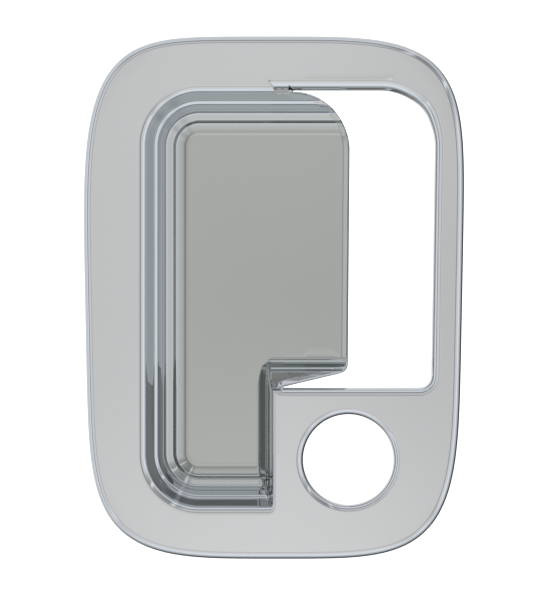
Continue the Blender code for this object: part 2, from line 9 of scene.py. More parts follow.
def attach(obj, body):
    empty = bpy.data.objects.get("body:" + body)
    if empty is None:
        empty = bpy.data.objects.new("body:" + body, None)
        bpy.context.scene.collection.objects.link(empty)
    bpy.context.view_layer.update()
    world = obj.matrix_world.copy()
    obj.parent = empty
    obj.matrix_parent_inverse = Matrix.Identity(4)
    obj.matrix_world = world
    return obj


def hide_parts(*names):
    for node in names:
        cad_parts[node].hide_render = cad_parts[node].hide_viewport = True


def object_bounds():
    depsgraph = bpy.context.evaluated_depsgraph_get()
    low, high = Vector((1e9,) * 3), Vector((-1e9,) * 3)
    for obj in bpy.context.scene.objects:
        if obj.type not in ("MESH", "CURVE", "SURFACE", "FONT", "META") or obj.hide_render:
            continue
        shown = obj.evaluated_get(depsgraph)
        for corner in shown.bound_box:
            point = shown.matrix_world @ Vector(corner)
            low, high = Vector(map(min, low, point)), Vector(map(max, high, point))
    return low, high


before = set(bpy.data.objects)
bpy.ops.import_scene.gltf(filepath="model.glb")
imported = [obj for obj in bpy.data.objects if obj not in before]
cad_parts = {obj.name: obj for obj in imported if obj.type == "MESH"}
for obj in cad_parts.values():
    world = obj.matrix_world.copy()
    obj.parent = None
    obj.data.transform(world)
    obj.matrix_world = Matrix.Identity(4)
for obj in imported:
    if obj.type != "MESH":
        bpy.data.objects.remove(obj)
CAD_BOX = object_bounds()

# The shell is drawn again here on a much finer mesh, because a mirror finish shows every facet.
# Lengths are in millimetres in the frame's own axes: X right, Z up, the visible face towards -Y.
MM = 0.001

# Flange outline: a bowed rounded rectangle. Each quadrant is |x/a|^n + |z/b|^m = 1.
OUT_HALF_WIDTH = 72.2
OUT_MID_Z = -1.7
OUT_UP = 101.7
OUT_DOWN = 98.3
OUT_TAPER = 0.00027
OUT_POWERS = {"top_left": (5.0, 4.1), "top_right": (4.0, 6.0),
              "bottom_left": (3.8, 5.8), "bottom_right": (4.3, 5.1)}

# Flange heights along Y.
EDGE_FRONT_Y = -3.8
CROWN = 1.8
FLANGE_BACK_Y = -1.4
SKIRT_Y = 0.0
OUT_ROLL = 2.9
RIB_WIDTH = 1.8
RIB_DRAFT = 0.4

# Lever opening: corner points with their fillets, then the free edge of the cup.
OPEN_TOP_Z = 79.3
OPEN_BOTTOM_Z = -34.5
OPEN_CORNERS = [((60.3, OPEN_BOTTOM_Z), 4.6), ((61.8, 61.5), 24.0),
                ((57.6, 73.2), 15.0), ((46.5, OPEN_TOP_Z), 21.0)]
NOTCH_TOP = (7.6, 78.7)
ARC_CENTRE = (8.0, 57.2)
ARC_RADIUS = 21.5
FREE_EDGE_CORNER = (28.8, -28.5)
FREE_EDGE_FILLET = 4.0
NOTCH_BOTTOM = (3.6, -34.28)
LIP_ROLL_TOP = 4.3
LIP_ROLL = 3.3
FREE_EDGE_ROLL = 2.5
FREE_EDGE = [(0.0, 2.0), (0.15, 1.25), (0.45, 0.75), (0.8, 0.5), (2.2, 0.06), (2.5, 0.0)]
# The slot between the flange's lip and the cup, as (left, right, bottom), and the lip's slanted left end.
SLOT = (0.4, 6.0, 77.8)
SLOT_SLOPE = 0.1
LIP_END = (0.2, 79.7, 0.63)
LIP_BACK_Y = 3.5

# Lock hole.
HOLE_X = 28.6
HOLE_Z = -62.0
HOLE_RADIUS = 17.3
HOLE_ROLL = 2.7
HOLE_BACK_Y = 1.0

# Finger cup: its rim, and the three wall sections as (distance in from the rim, depth).
RIM_LEFT = -51.5
RIM_TOP = 81.2
RIM_BOTTOM = -82.8
RIM_RIGHT = 0.6
RIM_LEDGE = -36.4
RIM_CORNER = 23.0
CUP_END_X = 45.0
RIM_TURN_WIDE = 5.0
RIM_TURN_RIGHT = 2.18
INNER_BLEND = 8.0
CUP_DEPTH = 18.0
FLOOR_Y = 13.4
FLOOR_BACK_Y = 16.0
WIDE_WALL = [(0.0, 0.0), (0.8, 0.08), (1.6, 0.32), (2.2, 0.69), (2.7, 1.17), (2.9, 1.47), (5.6, 6.6),
             (5.9, 7.0), (6.8, 7.35), (7.1, 7.7), (8.6, 9.9), (8.8, 10.3), (9.6, 13.1), (9.9, 13.6),
             (10.4, 13.95), (12.7, 14.6), (12.95, 14.85), (13.5, 16.5), (13.8, 16.85), (14.8, 17.3),
             (16.0, 17.65), (17.2, 17.9), (18.6, 18.0)]
RIGHT_WALL = [(0.0, 0.0), (0.5, 0.25), (0.9, 0.7), (1.3, 1.4), (1.7, 2.6), (3.4, 12.8), (3.8, 13.5),
              (6.0, 17.4), (6.5, 17.9), (6.9, 18.0)]
LEDGE_WALL = [(0.0, 0.0), (0.5, 0.22), (1.0, 0.75), (1.5, 1.95), (8.0, 9.9), (8.2, 10.2), (8.7, 11.9),
              (8.9, 12.1), (9.4, 12.3), (9.6, 12.6), (11.2, 16.6), (11.4, 16.9), (12.1, 17.2), (12.6, 17.85),
              (13.1, 18.0)]

# The same three walls on the back, as (distance in from the rim, Y).
WIDE_BACK = [(0.1, FLANGE_BACK_Y), (0.5, -0.66), (3.2, 4.4), (4.7, 5.29), (7.4, 10.2), (10.0, 12.13),
             (11.4, 12.88), (12.4, 14.14), (15.4, 15.48), (17.4, FLOOR_BACK_Y)]
RIGHT_BACK = [(-1.3, FLANGE_BACK_Y), (-1.0, -0.73), (0.7, 5.74), (1.6, 6.78), (3.1, 13.47),
              (4.6, FLOOR_BACK_Y)]
LEDGE_BACK = [(-1.0, FLANGE_BACK_Y), (-0.7, -0.95), (5.2, 10.05), (6.8, 11.54), (8.8, 12.58),
              (10.0, 14.96), (11.4, FLOOR_BACK_Y)]

# Fineness of the drawn shell: the pitch of its edges, of the lines on its faces, and of the loops that
# distances are measured to.
STEP = 1.0
BACK_STEP = 2.0
SLOT_STEP = 0.4
DISTANCE_STEP = 0.3
LEAST_STEP = 0.05
# The ring just outside each roll, which keeps the shading of the roll off the flat beside it.
RING_CLEAR = 0.25
ROLL_ANGLES = (0.0, 6.0, 13.0, 20.0, 28.0, 36.0, 45.0, 54.0, 63.0, 72.0, 80.0)
FREE_GAPS = (0.3, 0.6, 0.8, 1.0, 1.5, 2.0, 2.2, 2.35)
# The walls' level lines: their pitch, how close two may be, and how far either side of a crease a pair is.
WALL_PITCH = 0.34
LINE_GAP = 0.1
CREASE_SIDE = 0.12
# How far the level lines reach: to the right, above the ledge, and to the left of the right wall.
LINES_END_X = 31.0
RIGHT_LINES_UP = 14.0
LEDGE_LINES_LEFT = 8.0
# Boxes with extra points, as (x0, x1, z0, z1, step): the ledge's corner, the slot and the cup's lower
# right corner. The wide box covers the whole face.
FINE_BOXES = [(-9.0, 4.0, -40.0, -21.0, 0.4), (-3.0, 10.5, 76.5, 84.0, 0.35), (-8.0, 2.0, -84.0, -62.0, 0.5)]
WIDE_BOX = (-70.0, 70.0, -98.0, 98.0, 4.0)
FINE_APART = 0.16
WIDE_APART = 1.2
# The creases of a wall section are rounded over this distance, on a table of this pitch and overrun.
CREASE = 0.2
TABLE_PITCH = 0.02
TABLE_MARGIN = 1.5
# Distances are worked out only this near a loop; everywhere else they are taken as far. Then the least
# gap between two mesh points, the least area of a triangle, and the least difference of two depths.
NEAR = 4.0
FAR = 99.0
MERGE = 1e-4
SLIVER = 1e-7
TIE = 1e-6
PROBE = 0.01
EDGE_NORMAL_SIDE = 0.998
EDGE_NORMAL_FRONT = -0.06

# The plate's colour: bright on the flange, and darker towards the cup's floor from a set share of the way
# down. This darkening is painted shade in the recess.
SHADE_DEPTH_START_Y = -5.6
PLATE_BRIGHT = (0.580, 0.585, 0.590, 1.0)
PLATE_PAINTED_SHADE = (0.425, 0.44, 0.42, 1.0)
SHADE_RAMP_START = 0.55


def smoothstep(value, low, high):
    t = np.clip((value - low) / (high - low), 0.0, 1.0)
    return t * t * (3.0 - 2.0 * t)


def resample(points, spacing, closed):
    """Evenly spaced points along a dense polyline."""
    pts = np.asarray(points, float)
    if closed:
        pts = np.vstack([pts, pts[:1]])
    along = np.concatenate([[0.0], np.cumsum(np.hypot(*np.diff(pts, axis=0).T))])
    count = max(1, round(along[-1] / spacing))
    at = np.linspace(0.0, along[-1], count + 1)
    if closed:
        at = at[:-1]
    return np.column_stack([np.interp(at, along, pts[:, 0]), np.interp(at, along, pts[:, 1])])


def outline_value(x, z):
    """The outline's implicit function: 1 on the outline, less inside."""
    dz = z - OUT_MID_Z
    half = OUT_HALF_WIDTH * (1.0 + OUT_TAPER * dz)
    value = np.zeros_like(x)
    for name, (n, m) in OUT_POWERS.items():
        here = ((dz >= 0) == name.startswith("top")) & ((x >= 0) == name.endswith("right"))
        b = OUT_UP if name.startswith("top") else OUT_DOWN
        value = np.where(here, np.abs(x / half) ** n + np.abs(dz / b) ** m, value)
    return value


def outline_points(spacing):
    """The flange outline, anticlockwise, found along rays from its centre."""
    angle = np.linspace(0.0, 2.0 * math.pi, 1441)[:-1]
    low = np.zeros_like(angle)
    high = np.full_like(angle, 200.0)
    for _ in range(48):
        mid = (low + high) / 2.0
        inside = outline_value(mid * np.cos(angle), OUT_MID_Z + mid * np.sin(angle)) < 1.0
        low = np.where(inside, mid, low)
        high = np.where(inside, high, mid)
    dense = np.column_stack([low * np.cos(angle), OUT_MID_Z + low * np.sin(angle)])
    return resample(dense, spacing, True)


def arc(centre, radius, start, end, step):
    """Points of an arc between two angles in degrees, at most `step` millimetres apart."""
    count = max(2, math.ceil(abs(math.radians(end - start)) * radius / step))
    angle = np.radians(np.linspace(start, end, count + 1))
    return [(centre[0] + radius * math.cos(a), centre[1] + radius * math.sin(a)) for a in angle]


def fillet(before, corner, after, radius, step):
    """Points of the fillet that rounds one corner of a path."""
    corner = np.array(corner, float)
    u = np.array(before, float) - corner
    v = np.array(after, float) - corner
    u /= np.hypot(*u)
    v /= np.hypot(*v)
    half = math.acos(float(np.clip(u @ v, -1.0, 1.0))) / 2.0
    bisector = (u + v) / np.hypot(*(u + v))
    centre = corner + bisector * radius / math.sin(half)
    first = corner + u * radius / math.tan(half) - centre
    last = corner + v * radius / math.tan(half) - centre
    start = math.degrees(math.atan2(first[1], first[0]))
    turn = math.degrees(math.atan2(last[1], last[0])) - start
    turn = (turn + 180.0) % 360.0 - 180.0
    return arc(centre, radius, start, start + turn, step)


def line(start, end, step):
    count = max(1, round(math.dist(start, end) / step))
    return [(start[0] + (end[0] - start[0]) * i / count, start[1] + (end[1] - start[1]) * i / count)
            for i in range(count + 1)]


def opening_path(step):
    """The lever opening's edge, anticlockwise, starting at its lower left notch."""
    notch = (NOTCH_BOTTOM[0], OPEN_BOTTOM_Z)
    top = (NOTCH_TOP[0], OPEN_TOP_Z)
    stops = [notch] + [c for c, _ in OPEN_CORNERS] + [top]
    pieces = [[notch]]
    for i, (corner, radius) in enumerate(OPEN_CORNERS):
        pieces.append(fillet(stops[i], corner, stops[i + 2], radius, step))
    pieces.append([top, NOTCH_TOP])
    start = math.degrees(math.atan2(NOTCH_TOP[1] - ARC_CENTRE[1], NOTCH_TOP[0] - ARC_CENTRE[0]))
    pieces.append(arc(ARC_CENTRE, ARC_RADIUS, start, 0.0, step))
    arc_end = (ARC_CENTRE[0] + ARC_RADIUS, ARC_CENTRE[1])
    pieces.append(fillet(arc_end, FREE_EDGE_CORNER, NOTCH_BOTTOM, FREE_EDGE_FILLET, step))
    pieces.append([NOTCH_BOTTOM])
    path = [pieces[0][0]]
    for piece in pieces:
        for point in piece:
            if math.dist(path[-1], point) > LEAST_STEP:
                path += line(path[-1], point, step)[1:]
    return np.array(path)


def hole_path(step):
    return np.array(arc((HOLE_X, HOLE_Z), HOLE_RADIUS, 0.0, 360.0, step)[:-1])


def edge_loops(step):
    """The shell's three edges. Everything that goes round them takes them in this order."""
    return {"outline": outline_points(step), "opening": opening_path(step), "hole": hole_path(step)}


def inside(points, loop):
    """Which points are inside a closed loop."""
    x, z = points.T
    found = np.zeros(len(points), bool)
    for (x0, z0), (x1, z1) in zip(loop, np.roll(loop, -1, axis=0)):
        crosses = (z0 > z) != (z1 > z)
        if crosses.any():
            at = x0 + (z - z0) / (z1 - z0 if z1 != z0 else 1.0) * (x1 - x0)
            found ^= crosses & (x < at)
    return found


def distance(points, loop):
    """The distance from each point to a closed loop, or FAR where it is well beyond NEAR."""
    sparse = loop[::12]
    pitch = np.hypot(*np.diff(sparse, axis=0).T).max()
    rough = np.full(len(points), np.inf)
    for p in sparse:
        rough = np.minimum(rough, ((points - p) ** 2).sum(axis=1))
    near = np.sqrt(rough) < NEAR + pitch
    close = points[near]
    best = np.full(len(close), np.inf)
    for a, b in zip(loop, np.roll(loop, -1, axis=0)):
        ab = b - a
        offset = close - a
        t = np.clip(offset @ ab / (ab @ ab), 0.0, 1.0)
        best = np.minimum(best, ((offset - t[:, None] * ab) ** 2).sum(axis=1))
    gap = np.full(len(points), FAR)
    gap[near] = np.sqrt(best)
    return gap


def roll(gap, radius):
    """How far a quarter-round edge drops at a distance from the edge."""
    t = np.clip(1.0 - gap / radius, 0.0, 1.0)
    return radius * (1.0 - np.sqrt(1.0 - t * t))


def free_edge_share(x, z):
    """1 beside the free edge of the cup and 0 beside the flange's own lip."""
    low = smoothstep(z, OPEN_BOTTOM_Z - 0.5, OPEN_BOTTOM_Z + 1.0)
    high = 1.0 - smoothstep(z, OPEN_TOP_Z - 1.0, OPEN_TOP_Z + 0.5)
    return low * high * (x < CUP_END_X)


def lip_radius(x, z):
    """The radius of the opening's rolled edge: widest along the top, least along the free edge of the cup."""
    flange = LIP_ROLL + (LIP_ROLL_TOP - LIP_ROLL) * smoothstep(z, OPEN_TOP_Z - 22.0, OPEN_TOP_Z - 3.0)
    return flange + (FREE_EDGE_ROLL - flange) * free_edge_share(x, z)


def past_lip_end(x, z):
    """0 to the left of the lip's slanted end and 1 to its right."""
    end_x, end_z, slant = LIP_END
    return smoothstep(x - end_x + slant * (z - end_z), -0.5, 0.5)


def lip_share(x, z):
    """1 where the flange's lip takes over from the rim of the cup."""
    top = past_lip_end(x, z) * smoothstep(z, OPEN_TOP_Z - 0.2, OPEN_TOP_Z + 0.2)
    bottom = smoothstep(x, 2.0, 3.6) * (1.0 - smoothstep(z, OPEN_BOTTOM_Z - 0.3, OPEN_BOTTOM_Z + 0.3))
    return np.maximum(top, bottom)


def slot_drop(x, z):
    """The lip's rolled edge where it runs on past the opening, and the slot's flat floor below it."""
    left, right, bottom = SLOT
    stub = roll(np.abs(z - OPEN_TOP_Z), LIP_ROLL_TOP) * past_lip_end(x, z)
    stub *= (z > OPEN_TOP_Z) * (x < NOTCH_TOP[0])
    across = smoothstep(x, left - 0.25, left + 0.25) * (1.0 - smoothstep(x, right - 0.25, right + 0.25))
    sloped = LIP_ROLL_TOP + SLOT_SLOPE * (z - OPEN_TOP_Z)
    floor = sloped * across * smoothstep(z, bottom - 0.2, bottom + 0.2) * (z <= OPEN_TOP_Z)
    return stub + floor


def rim_distance(x, z):
    """The distance in from the left, top and bottom rim, with its two round corners."""
    left = x - RIM_LEFT
    top = RIM_TOP - z
    bottom = z - RIM_BOTTOM
    corner_x = RIM_LEFT + RIM_CORNER
    gap = np.minimum(np.minimum(left, top), bottom)
    for centre_z, beyond in ((RIM_TOP - RIM_CORNER, z > RIM_TOP - RIM_CORNER),
                             (RIM_BOTTOM + RIM_CORNER, z < RIM_BOTTOM + RIM_CORNER)):
        round_gap = RIM_CORNER - np.hypot(x - corner_x, z - centre_z)
        gap = np.where((x < corner_x) & beyond, round_gap, gap)
    return gap


def combine(wide, right, ledge, deepest):
    """The cup is inside the wide walls and past the right wall or the ledge wall, with rounded junctions."""
    outer = np.maximum(right, ledge)
    blend = 1.0 + 15.0 * outer / deepest
    near = np.clip(blend - np.abs(right - ledge), 0.0, None) / blend
    corner = np.minimum(outer + near ** 2 * blend / 4.0 * smoothstep(outer, 0.0, 3.0), deepest)
    least = np.minimum(wide, corner)
    near = np.clip(INNER_BLEND - np.abs(wide - corner), 0.0, None) / INNER_BLEND
    fill = near ** 2 * INNER_BLEND / 4.0 * (1.0 - (np.maximum(wide, corner) / deepest) ** 6)
    return np.clip(least - fill * smoothstep(least, 5.0, 9.0), 0.0, None)


def rim_turn(depth, x, z):
    """The cup's depth with its rim turning a rounded corner at the lower right."""
    a = 1.0 - rim_distance(x, z) / RIM_TURN_WIDE
    b = 1.0 - (RIM_RIGHT - x) / RIM_TURN_RIGHT
    here = (a > 0.0) & (b > 0.0) & (z < RIM_BOTTOM + 2.0 * RIM_TURN_WIDE)
    a = np.clip(a, 1e-6, None)
    b = np.clip(b, 1e-6, None)
    left = 1.0 - np.hypot(a, b)
    share = a * a / (a * a + b * b)
    turned = share * wall_depth("wide", left * RIM_TURN_WIDE)
    turned += (1.0 - share) * wall_depth("right", left * RIM_TURN_RIGHT)
    return np.where(here, turned, depth)


def softened(nodes):
    """A wall section as a fine table with its creases rounded."""
    gaps, depths = zip(*nodes)
    at = np.arange(gaps[0] - TABLE_MARGIN, gaps[-1] + TABLE_MARGIN, TABLE_PITCH)
    reach = math.ceil(3.0 * CREASE / TABLE_PITCH)
    weight = np.exp(-0.5 * (np.arange(-reach, reach + 1) * TABLE_PITCH / CREASE) ** 2)
    depth = np.pad(np.interp(at, gaps, depths), reach, mode="edge")
    return at, np.convolve(depth, weight / weight.sum(), mode="valid")


FRONT_WALLS = {"wide": WIDE_WALL, "right": RIGHT_WALL, "ledge": LEDGE_WALL}
BACK_WALLS = {"wide": WIDE_BACK, "right": RIGHT_BACK, "ledge": LEDGE_BACK}
SECTIONS = {kind: softened(nodes) for kind, nodes in FRONT_WALLS.items()}


def wall_depth(name, gap):
    return np.interp(gap, *SECTIONS[name])


def front_y(points, loops):
    """Y of the visible face over any point of the flange or the cup."""
    x, z = points.T
    flange = EDGE_FRONT_Y - CROWN * (1.0 - ((x / OUT_HALF_WIDTH) ** 2 + (z / OUT_UP) ** 2) / 2.0)
    depth = combine(wall_depth("wide", rim_distance(x, z)), wall_depth("right", RIM_RIGHT - x),
                    wall_depth("ledge", z - RIM_LEDGE), CUP_DEPTH)
    depth = rim_turn(depth, x, z) * (1.0 - lip_share(x, z)) * (x < CUP_END_X)
    gap = distance(points, loops["opening"])
    share = free_edge_share(x, z)
    lip = roll(gap, lip_radius(x, z)) * (1.0 - share) + np.interp(gap, *zip(*FREE_EDGE)) * share
    y = np.maximum(flange + (FLOOR_Y - flange) * depth / CUP_DEPTH + lip, flange + slot_drop(x, z))
    y += roll(distance(points, loops["outline"]), OUT_ROLL)
    return y + roll(distance(points, loops["hole"]), HOLE_ROLL)


def section(nodes, gap):
    gaps, depths = zip(*nodes)
    return np.interp(gap, gaps, depths)


def front_normals(points, loops):
    """The visible face's normals, from its slope either side of each point."""
    dx = np.array([PROBE, 0.0])
    dz = np.array([0.0, PROBE])
    slope_x = (front_y(points + dx, loops) - front_y(points - dx, loops)) / (2.0 * PROBE)
    slope_z = (front_y(points + dz, loops) - front_y(points - dz, loops)) / (2.0 * PROBE)
    found = np.column_stack([slope_x, -np.ones(len(points)), slope_z])
    return found / np.linalg.norm(found, axis=1)[:, None]


def rib(gap, height):
    """Y of a rib that stands along an edge, on the flange's back."""
    return FLANGE_BACK_Y + (height - FLANGE_BACK_Y) * (1.0 - np.clip((gap - RIB_WIDTH) / RIB_DRAFT, 0.0, 1.0))


def back_y(points, loops):
    """Y of the hidden face over any point of the flange or the cup."""
    x, z = points.T
    wide = section(WIDE_BACK, rim_distance(x, z))
    corner = np.maximum(section(RIGHT_BACK, RIM_RIGHT - x), section(LEDGE_BACK, z - RIM_LEDGE))
    cup = np.minimum(wide, corner)
    top = smoothstep(x, NOTCH_TOP[0] - 1.5, NOTCH_TOP[0]) * smoothstep(z, OPEN_TOP_Z - 0.5, OPEN_TOP_Z + 0.3)
    bottom = smoothstep(x, 4.0, 6.0) * (1.0 - smoothstep(z, OPEN_BOTTOM_Z - 0.3, OPEN_BOTTOM_Z + 0.2))
    cup = FLANGE_BACK_Y + (cup - FLANGE_BACK_Y) * (1.0 - np.maximum(top, bottom)) * (x < CUP_END_X)
    y = np.maximum(cup, rib(distance(points, loops["outline"]), SKIRT_Y))
    y = np.maximum(y, rib(distance(points, loops["hole"]), HOLE_BACK_Y))
    lip = rib(distance(points, loops["opening"]), LIP_BACK_Y)
    lip = FLANGE_BACK_Y + (lip - FLANGE_BACK_Y) * (1.0 - free_edge_share(x, z))
    return np.maximum(y, lip)


def normals(loop):
    """Unit vectors to the right of a loop's direction, at its points."""
    along = np.roll(loop, -1, axis=0) - np.roll(loop, 1, axis=0)
    along /= np.hypot(*along.T)[:, None]
    return np.column_stack([along[:, 1], -along[:, 0]])


def rings_beside(loop, gaps, side):
    """Closed rings at set distances from a loop. `gaps` holds one distance, or one per point."""
    return [loop + normals(loop) * side * np.broadcast_to(g, (len(loop),))[:, None] for g in gaps]


def rim_line(gap, step):
    """The wide walls' rim, moved in by a distance."""
    radius = RIM_CORNER - gap
    corner_x = RIM_LEFT + RIM_CORNER
    top = (corner_x, RIM_TOP - RIM_CORNER)
    bottom = (corner_x, RIM_BOTTOM + RIM_CORNER)
    path = line((LINES_END_X, RIM_TOP - gap), (corner_x, RIM_TOP - gap), step)
    path += curve(top, radius, 90.0, 180.0, step)[1:]
    path += line((RIM_LEFT + gap, top[1]), (RIM_LEFT + gap, bottom[1]), 2.0 * step)[1:]
    path += curve(bottom, radius, 180.0, 270.0, step)[1:]
    path += line((corner_x, RIM_BOTTOM + gap), (RIM_RIGHT, RIM_BOTTOM + gap), step)[1:]
    return np.array(path)


def curve(centre, radius, start, end, step):
    """An arc with the same number of points whatever its radius."""
    count = math.ceil(math.radians(abs(end - start)) * RIM_CORNER / step)
    angle = np.radians(np.linspace(start, end, count + 1))
    return [(centre[0] + radius * math.cos(a), centre[1] + radius * math.sin(a)) for a in angle]


def right_line(gap, step):
    top = RIM_LEDGE + RIGHT_LINES_UP
    return np.array(line((RIM_RIGHT - gap, top), (RIM_RIGHT - gap, RIM_BOTTOM), step))


def ledge_line(gap, step):
    left = RIM_RIGHT - LEDGE_LINES_LEFT
    return np.array(line((left, RIM_LEDGE + gap), (LINES_END_X, RIM_LEDGE + gap), step))


LEVEL_LINES = {"wide": rim_line, "right": right_line, "ledge": ledge_line}


def runs(path, keep):
    """The stretches of a path where keep is true."""
    found = []
    current = []
    for point, ok in zip(path, keep):
        if ok:
            current.append(point)
        elif current:
            found.append(np.array(current))
            current = []
    if current:
        found.append(np.array(current))
    return found


def domain_margin(loops, gap):
    """A test for points on the material and at least `gap` from every edge."""
    def test(points):
        clear = inside(points, loops["outline"])
        for name in ("opening", "hole"):
            clear &= ~inside(points, loops[name])
        for name, loop in loops.items():
            clear &= distance(points, loop) > gap[name]
        return clear
    return test


def grid(x0, x1, z0, z1, step):
    xs = np.linspace(x0, x1, max(2, round((x1 - x0) / step) + 1))
    zs = np.linspace(z0, z1, max(2, round((z1 - z0) / step) + 1))
    return np.array([(x, z) for x in xs for z in zs])


def triangulate(loops, rings, paths, dots):
    """Triangles over the material, with every loop, ring and path kept as edges."""
    points = []
    edges = []
    for loop in list(loops.values()) + rings:
        first = len(points)
        points += [tuple(p) for p in loop]
        edges += [(first + i, first + (i + 1) % len(loop)) for i in range(len(loop))]
    for path in paths:
        first = len(points)
        points += [tuple(p) for p in path]
        edges += [(first + i, first + i + 1) for i in range(len(path) - 1)]
    points += [tuple(p) for p in dots]
    verts, _, faces, _, _, _ = delaunay_2d_cdt([Vector(p) for p in points], edges, [], 0, MERGE)
    flat = np.array([tuple(v) for v in verts])
    tris = np.array([f[:] for f in faces])
    centre = flat[tris].mean(axis=1)
    keep = inside(centre, loops["outline"])
    keep &= ~inside(centre, loops["opening"]) & ~inside(centre, loops["hole"])
    tris = tris[keep]
    a, b, c = (flat[tris[:, i]] for i in range(3))
    area = (b[:, 0] - a[:, 0]) * (c[:, 1] - a[:, 1]) - (b[:, 1] - a[:, 1]) * (c[:, 0] - a[:, 0])
    tris[area < 0] = tris[area < 0][:, ::-1]
    return flat, tris[np.abs(area) > SLIVER]


def single(points):
    """The points at the precision the triangulation works in."""
    return np.asarray(points, np.float32).astype(float)


def spread(points, taken, gap):
    """The points that keep a distance from the ones already taken."""
    kept = []
    for p in points:
        if ((taken - p) ** 2).sum(axis=1).min() > gap * gap:
            kept.append(p)
    return kept


def wall_gaps(nodes):
    """Evenly pitched distances down a wall, finer where its section bends."""
    gaps, depths = zip(*nodes)
    found = list(np.arange(gaps[0] - 0.3, gaps[-1] + 0.5, WALL_PITCH))
    for g in gaps:
        found += [g - CREASE_SIDE, g + CREASE_SIDE]
    found = sorted(found)
    kept = [found[0]]
    for g in found[1:]:
        if g - kept[-1] > LINE_GAP:
            kept.append(g)
    return kept


def wall_runs(tables, kind, path, margin):
    """The stretches of a level line where it is really a line of the cup's surface."""
    x, z = path.T
    wide = section(tables["wide"], rim_distance(x, z))
    right = section(tables["right"], RIM_RIGHT - x)
    ledge = section(tables["ledge"], z - RIM_LEDGE)
    keep = {"wide": wide <= np.maximum(right, ledge) + TIE,
            "right": (right >= ledge - TIE) & (right <= wide),
            "ledge": (ledge >= right - TIE) & (ledge <= wide)}[kind]
    return runs(path, keep & (lip_share(x, z) < 0.5) & margin(path))


def slot_lines():
    """Lines along the steps of the slot and the lip's slanted end."""
    left, right, bottom = SLOT
    end_x, end_z, slant = LIP_END
    stop = NOTCH_TOP[0] - 0.25
    found = [line((left - 0.5, z), (stop, z), SLOT_STEP) for z in (OPEN_TOP_Z - 0.06, OPEN_TOP_Z + 0.02)]
    for z in (bottom - 0.2, bottom, bottom + 0.2):
        found.append(line((left - 0.25, z), (right + 0.25, z), SLOT_STEP))
    for side in (left, right):
        for x in (side - 0.25, side, side + 0.25):
            found.append(line((x, bottom - 0.3), (x, OPEN_TOP_Z - 0.1), SLOT_STEP))
    for shift in (-0.5, -0.2, 0.2, 0.5):
        low = (end_x + shift - slant * (OPEN_TOP_Z + 0.1 - end_z), OPEN_TOP_Z + 0.1)
        high = (end_x + shift - slant * (OPEN_TOP_Z + LIP_ROLL_TOP - end_z), OPEN_TOP_Z + LIP_ROLL_TOP)
        found.append(line(low, high, SLOT_STEP))
    return [np.array(path) for path in found]


def front_layout(loops):
    """The triangulation of the visible face."""
    roll_gaps = [1.0 - math.sin(math.radians(a)) for a in ROLL_ANGLES]
    free_gaps = [g / FREE_EDGE_ROLL for g in FREE_GAPS]
    lip = lip_radius(*loops["opening"].T)
    rings = rings_beside(loops["outline"], [g * OUT_ROLL for g in roll_gaps] + [OUT_ROLL + RING_CLEAR], -1.0)
    lip_gaps = sorted(set(roll_gaps + free_gaps))
    rings += rings_beside(loops["opening"], [g * lip for g in lip_gaps] + [lip + RING_CLEAR], 1.0)
    rings += rings_beside(loops["hole"], [g * HOLE_ROLL for g in roll_gaps] + [HOLE_ROLL + RING_CLEAR], 1.0)
    margin = domain_margin(loops, {"outline": 3.2, "opening": 0.1, "hole": 3.0})
    walls = []
    for kind, level_line in LEVEL_LINES.items():
        for gap in wall_gaps(FRONT_WALLS[kind]):
            walls += wall_runs(FRONT_WALLS, kind, level_line(gap, STEP), margin)
    walls += slot_lines()
    margin = domain_margin(loops, {"outline": 3.1, "opening": 0.3, "hole": 2.9})
    taken = np.vstack(list(loops.values()) + rings + walls)
    fine = np.vstack([grid(*box) for box in FINE_BOXES])
    dots = spread(fine[margin(fine)], taken, FINE_APART)
    wide = grid(*WIDE_BOX)
    dots += spread(wide[margin(wide)], np.vstack([taken, np.array(dots)]), WIDE_APART)
    return triangulate(loops, rings, walls, dots)


def back_layout(loops):
    """The triangulation of the hidden face."""
    rings = []
    for name, side in (("outline", -1.0), ("opening", 1.0), ("hole", 1.0)):
        rings += rings_beside(loops[name], [RIB_WIDTH, RIB_WIDTH + RIB_DRAFT], side)
    margin = domain_margin(loops, {"outline": 2.6, "opening": 0.6, "hole": 2.6})
    walls = []
    for kind, level_line in LEVEL_LINES.items():
        for gap, _ in BACK_WALLS[kind]:
            walls += wall_runs(BACK_WALLS, kind, level_line(gap, BACK_STEP), margin)
    return triangulate(loops, rings, walls, [])


def index_of(flat, loop):
    """The index in flat of each point of a loop."""
    found = []
    for p in loop:
        found.append(int(((flat - p) ** 2).sum(axis=1).argmin()))
    return found


